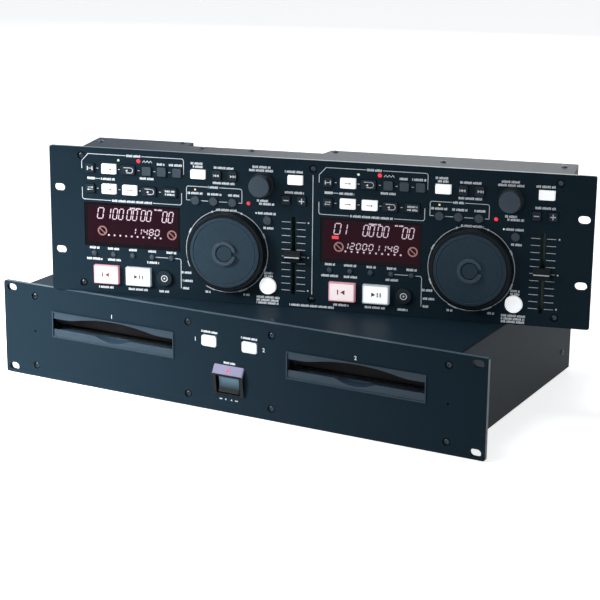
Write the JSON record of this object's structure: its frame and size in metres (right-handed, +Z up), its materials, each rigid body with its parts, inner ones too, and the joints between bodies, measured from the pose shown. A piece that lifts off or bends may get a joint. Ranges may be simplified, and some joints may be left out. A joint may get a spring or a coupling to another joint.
{
  "type": "twin disc player with remote controller",
  "caption": "Rack player with slot-loading disc drives, and its rack controller with jog wheels, keys and pitch sliders standing angled on top of it.",
  "frame": {"origin": "centre of the player panel's four rack slots, on the panel's front face", "axes": "+X to the right as the user sees it, +Y into the units, +Z up"},
  "size_m": [0.5257, 0.2832, 0.2217],
  "materials": {
    "panel_paint": "fine satin dark blue-grey",
    "case_paint": "semi-gloss black",
    "screw_steel": "black zinc",
    "chassis_steel": "zinc plated",
    "moulded_black": "fine texture",
    "hood_grey": "satin",
    "button_black": "polished",
    "lit_white_key": "translucent, lit from behind",
    "grey_key": "silk",
    "cue_key": "translucent, lit from behind",
    "jog_grey": "silk",
    "ring_black": "silk",
    "display_window": "tinted clear plastic",
    "circuit_board": "solder mask",
    "transformer": "varnished",
    "drive_frame": "moulded",
    "roller_rubber": "matte",
    "hub_plastic": "moulded",
    "nickel": "nickel plated",
    "foot_rubber": "matte",
    "inlet_black": "moulded"
  },
  "bodies": {
    "player_unit": {"player_front_panel": "panel_paint", "player_chassis": "chassis_steel", "player_top_cover": "case_paint", "player_screws": "screw_steel", "player_feet": "foot_rubber", "power_switch_frame": "hood_grey", "player_main_board": "circuit_board", "power_supply": "transformer", "player_rear_sockets": "nickel", "mains_inlet": "inlet_black", "slot_bezel_1": "moulded_black", "slot_bezel_2": "moulded_black", "drive_unit_1": "drive_frame", "drive_unit_2": "drive_frame"},
    "controller_unit": {"controller_panel": "panel_paint", "controller_case": "case_paint", "controller_board": "circuit_board", "controller_sockets": "nickel", "controller_screws": "screw_steel", "display_window_1": "display_window", "display_window_2": "display_window"},
    "power_button": {"power_button": "button_black"},
    "eject_button_1": {"eject_button_1": "lit_white_key"},
    "loading_roller_1": {"loading_roller_1": "roller_rubber"},
    "disc_spindle_1": {"disc_spindle_1": "hub_plastic"},
    "start_keys_1": {"start_keys_1": "lit_white_key"},
    "option_keys_1": {"option_keys_1": "grey_key"},
    "jump_keys_1": {"jump_keys_1": "grey_key"},
    "next_track_key_1": {"next_track_key_1": "lit_white_key"},
    "disc_eject_key_1": {"disc_eject_key_1": "lit_white_key"},
    "bend_minus_key_1": {"bend_minus_key_1": "grey_key"},
    "bend_plus_key_1": {"bend_plus_key_1": "grey_key"},
    "round_keys_1": {"round_keys_1": "grey_key"},
    "tap_button_1": {"tap_button_1": "grey_key"},
    "scratch_button_1": {"scratch_button_1": "lit_white_key"},
    "cue_button_1": {"cue_button_1": "cue_key"},
    "play_button_1": {"play_button_1": "lit_white_key"},
    "jog_disc_1": {"jog_disc_1": "jog_grey"},
    "shuttle_ring_1": {"shuttle_ring_1": "ring_black"},
    "track_knob_1": {"track_knob_1": "ring_black"},
    "pitch_slider_1": {"pitch_slider_1": "ring_black"},
    "eject_button_2": {"eject_button_2": "lit_white_key"},
    "loading_roller_2": {"loading_roller_2": "roller_rubber"},
    "disc_spindle_2": {"disc_spindle_2": "hub_plastic"},
    "start_keys_2": {"start_keys_2": "lit_white_key"},
    "option_keys_2": {"option_keys_2": "grey_key"},
    "jump_keys_2": {"jump_keys_2": "grey_key"},
    "next_track_key_2": {"next_track_key_2": "lit_white_key"},
    "disc_eject_key_2": {"disc_eject_key_2": "lit_white_key"},
    "bend_minus_key_2": {"bend_minus_key_2": "grey_key"},
    "bend_plus_key_2": {"bend_plus_key_2": "grey_key"},
    "round_keys_2": {"round_keys_2": "grey_key"},
    "tap_button_2": {"tap_button_2": "grey_key"},
    "scratch_button_2": {"scratch_button_2": "lit_white_key"},
    "cue_button_2": {"cue_button_2": "cue_key"},
    "play_button_2": {"play_button_2": "lit_white_key"},
    "jog_disc_2": {"jog_disc_2": "jog_grey"},
    "shuttle_ring_2": {"shuttle_ring_2": "ring_black"},
    "track_knob_2": {"track_knob_2": "ring_black"},
    "pitch_slider_2": {"pitch_slider_2": "ring_black"}
  },
  "joints": [
    {"name": "controller_lift", "type": "slide", "parent": "player_unit", "child": "controller_unit", "axis": [0, 0, 1], "range_m": [0, 0.1]},
    {"name": "power_button_press", "type": "slide", "parent": "player_unit", "child": "power_button", "axis": [0, 1, 0], "range_m": [0, 0.003], "stiffness_N_per_m": 500, "springref_m": -0.002},
    {"name": "eject_button_1_press", "type": "slide", "parent": "player_unit", "child": "eject_button_1", "axis": [0, 1, 0], "range_m": [0, 0.001], "stiffness_N_per_m": 400, "springref_m": -0.001},
    {"name": "loading_roller_1_spin", "type": "hinge", "parent": "player_unit", "child": "loading_roller_1", "pos_m": [-0.122, 0.022, -0.00045], "axis": [1, 0, 0], "continuous": true},
    {"name": "disc_spindle_1_spin", "type": "hinge", "parent": "player_unit", "child": "disc_spindle_1", "pos_m": [-0.122, 0.078, 0.00215], "axis": [0, 0, 1], "continuous": true},
    {"name": "start_keys_1_press", "type": "slide", "parent": "controller_unit", "child": "start_keys_1", "axis": [-0.247, 0.969, 0], "range_m": [0, 0.001], "stiffness_N_per_m": 400, "springref_m": -0.001},
    {"name": "option_keys_1_press", "type": "slide", "parent": "controller_unit", "child": "option_keys_1", "axis": [-0.247, 0.969, 0], "range_m": [0, 0.001], "stiffness_N_per_m": 400, "springref_m": -0.001},
    {"name": "jump_keys_1_press", "type": "slide", "parent": "controller_unit", "child": "jump_keys_1", "axis": [-0.247, 0.969, 0], "range_m": [0, 0.001], "stiffness_N_per_m": 400, "springref_m": -0.001},
    {"name": "next_track_key_1_press", "type": "slide", "parent": "controller_unit", "child": "next_track_key_1", "axis": [-0.247, 0.969, 0], "range_m": [0, 0.001], "stiffness_N_per_m": 400, "springref_m": -0.001},
    {"name": "disc_eject_key_1_press", "type": "slide", "parent": "controller_unit", "child": "disc_eject_key_1", "axis": [-0.247, 0.969, 0], "range_m": [0, 0.001], "stiffness_N_per_m": 400, "springref_m": -0.001},
    {"name": "bend_minus_key_1_press", "type": "slide", "parent": "controller_unit", "child": "bend_minus_key_1", "axis": [-0.247, 0.969, 0], "range_m": [0, 0.001], "stiffness_N_per_m": 400, "springref_m": -0.001},
    {"name": "bend_plus_key_1_press", "type": "slide", "parent": "controller_unit", "child": "bend_plus_key_1", "axis": [-0.247, 0.969, 0], "range_m": [0, 0.001], "stiffness_N_per_m": 400, "springref_m": -0.001},
    {"name": "round_keys_1_press", "type": "slide", "parent": "controller_unit", "child": "round_keys_1", "axis": [-0.247, 0.969, 0], "range_m": [0, 0.001], "stiffness_N_per_m": 400, "springref_m": -0.001},
    {"name": "tap_button_1_press", "type": "slide", "parent": "controller_unit", "child": "tap_button_1", "axis": [-0.247, 0.969, 0], "range_m": [0, 0.001], "stiffness_N_per_m": 400, "springref_m": -0.001},
    {"name": "scratch_button_1_press", "type": "slide", "parent": "controller_unit", "child": "scratch_button_1", "axis": [-0.247, 0.969, 0], "range_m": [0, 0.001], "stiffness_N_per_m": 400, "springref_m": -0.001},
    {"name": "cue_button_1_press", "type": "slide", "parent": "controller_unit", "child": "cue_button_1", "axis": [-0.247, 0.969, 0], "range_m": [0, 0.0012], "stiffness_N_per_m": 600, "springref_m": -0.001},
    {"name": "play_button_1_press", "type": "slide", "parent": "controller_unit", "child": "play_button_1", "axis": [-0.247, 0.969, 0], "range_m": [0, 0.0012], "stiffness_N_per_m": 600, "springref_m": -0.001},
    {"name": "jog_disc_1_turn", "type": "hinge", "parent": "controller_unit", "child": "jog_disc_1", "pos_m": [-0.02223, 0.02968, 0.09065], "axis": [0.247, -0.969, 0], "continuous": true},
    {"name": "shuttle_ring_1_turn", "type": "hinge", "parent": "controller_unit", "child": "shuttle_ring_1", "pos_m": [-0.02322, 0.03356, 0.09065], "axis": [0.247, -0.969, 0], "range_deg": [-45, 45], "stiffness_Nm_per_rad": 0.05},
    {"name": "track_knob_1_turn", "type": "hinge", "parent": "controller_unit", "child": "track_knob_1", "pos_m": [0.00828, 0.03952, 0.15275], "axis": [0.247, -0.969, 0], "continuous": true},
    {"name": "pitch_slider_1_slide", "type": "slide", "parent": "controller_unit", "child": "pitch_slider_1", "axis": [0, 0, 1], "range_m": [-0.03, 0.03]},
    {"name": "eject_button_2_press", "type": "slide", "parent": "player_unit", "child": "eject_button_2", "axis": [0, 1, 0], "range_m": [0, 0.001], "stiffness_N_per_m": 400, "springref_m": -0.001},
    {"name": "loading_roller_2_spin", "type": "hinge", "parent": "player_unit", "child": "loading_roller_2", "pos_m": [0.122, 0.022, -0.00045], "axis": [1, 0, 0], "continuous": true},
    {"name": "disc_spindle_2_spin", "type": "hinge", "parent": "player_unit", "child": "disc_spindle_2", "pos_m": [0.122, 0.078, 0.00215], "axis": [0, 0, 1], "continuous": true},
    {"name": "start_keys_2_press", "type": "slide", "parent": "controller_unit", "child": "start_keys_2", "axis": [-0.247, 0.969, 0], "range_m": [0, 0.001], "stiffness_N_per_m": 400, "springref_m": -0.001},
    {"name": "option_keys_2_press", "type": "slide", "parent": "controller_unit", "child": "option_keys_2", "axis": [-0.247, 0.969, 0], "range_m": [0, 0.001], "stiffness_N_per_m": 400, "springref_m": -0.001},
    {"name": "jump_keys_2_press", "type": "slide", "parent": "controller_unit", "child": "jump_keys_2", "axis": [-0.247, 0.969, 0], "range_m": [0, 0.001], "stiffness_N_per_m": 400, "springref_m": -0.001},
    {"name": "next_track_key_2_press", "type": "slide", "parent": "controller_unit", "child": "next_track_key_2", "axis": [-0.247, 0.969, 0], "range_m": [0, 0.001], "stiffness_N_per_m": 400, "springref_m": -0.001},
    {"name": "disc_eject_key_2_press", "type": "slide", "parent": "controller_unit", "child": "disc_eject_key_2", "axis": [-0.247, 0.969, 0], "range_m": [0, 0.001], "stiffness_N_per_m": 400, "springref_m": -0.001},
    {"name": "bend_minus_key_2_press", "type": "slide", "parent": "controller_unit", "child": "bend_minus_key_2", "axis": [-0.247, 0.969, 0], "range_m": [0, 0.001], "stiffness_N_per_m": 400, "springref_m": -0.001},
    {"name": "bend_plus_key_2_press", "type": "slide", "parent": "controller_unit", "child": "bend_plus_key_2", "axis": [-0.247, 0.969, 0], "range_m": [0, 0.001], "stiffness_N_per_m": 400, "springref_m": -0.001},
    {"name": "round_keys_2_press", "type": "slide", "parent": "controller_unit", "child": "round_keys_2", "axis": [-0.247, 0.969, 0], "range_m": [0, 0.001], "stiffness_N_per_m": 400, "springref_m": -0.001},
    {"name": "tap_button_2_press", "type": "slide", "parent": "controller_unit", "child": "tap_button_2", "axis": [-0.247, 0.969, 0], "range_m": [0, 0.001], "stiffness_N_per_m": 400, "springref_m": -0.001},
    {"name": "scratch_button_2_press", "type": "slide", "parent": "controller_unit", "child": "scratch_button_2", "axis": [-0.247, 0.969, 0], "range_m": [0, 0.001], "stiffness_N_per_m": 400, "springref_m": -0.001},
    {"name": "cue_button_2_press", "type": "slide", "parent": "controller_unit", "child": "cue_button_2", "axis": [-0.247, 0.969, 0], "range_m": [0, 0.0012], "stiffness_N_per_m": 600, "springref_m": -0.001},
    {"name": "play_button_2_press", "type": "slide", "parent": "controller_unit", "child": "play_button_2", "axis": [-0.247, 0.969, 0], "range_m": [0, 0.0012], "stiffness_N_per_m": 600, "springref_m": -0.001},
    {"name": "jog_disc_2_turn", "type": "hinge", "parent": "controller_unit", "child": "jog_disc_2", "pos_m": [0.18746, 0.08313, 0.09065], "axis": [0.247, -0.969, 0], "continuous": true},
    {"name": "shuttle_ring_2_turn", "type": "hinge", "parent": "controller_unit", "child": "shuttle_ring_2", "pos_m": [0.18648, 0.08701, 0.09065], "axis": [0.247, -0.969, 0], "range_deg": [-45, 45], "stiffness_Nm_per_rad": 0.05},
    {"name": "track_knob_2_turn", "type": "hinge", "parent": "controller_unit", "child": "track_knob_2", "pos_m": [0.21798, 0.09297, 0.15275], "axis": [0.247, -0.969, 0], "continuous": true},
    {"name": "pitch_slider_2_slide", "type": "slide", "parent": "controller_unit", "child": "pitch_slider_2", "axis": [0, 0, 1], "range_m": [-0.03, 0.03]}
  ]
}
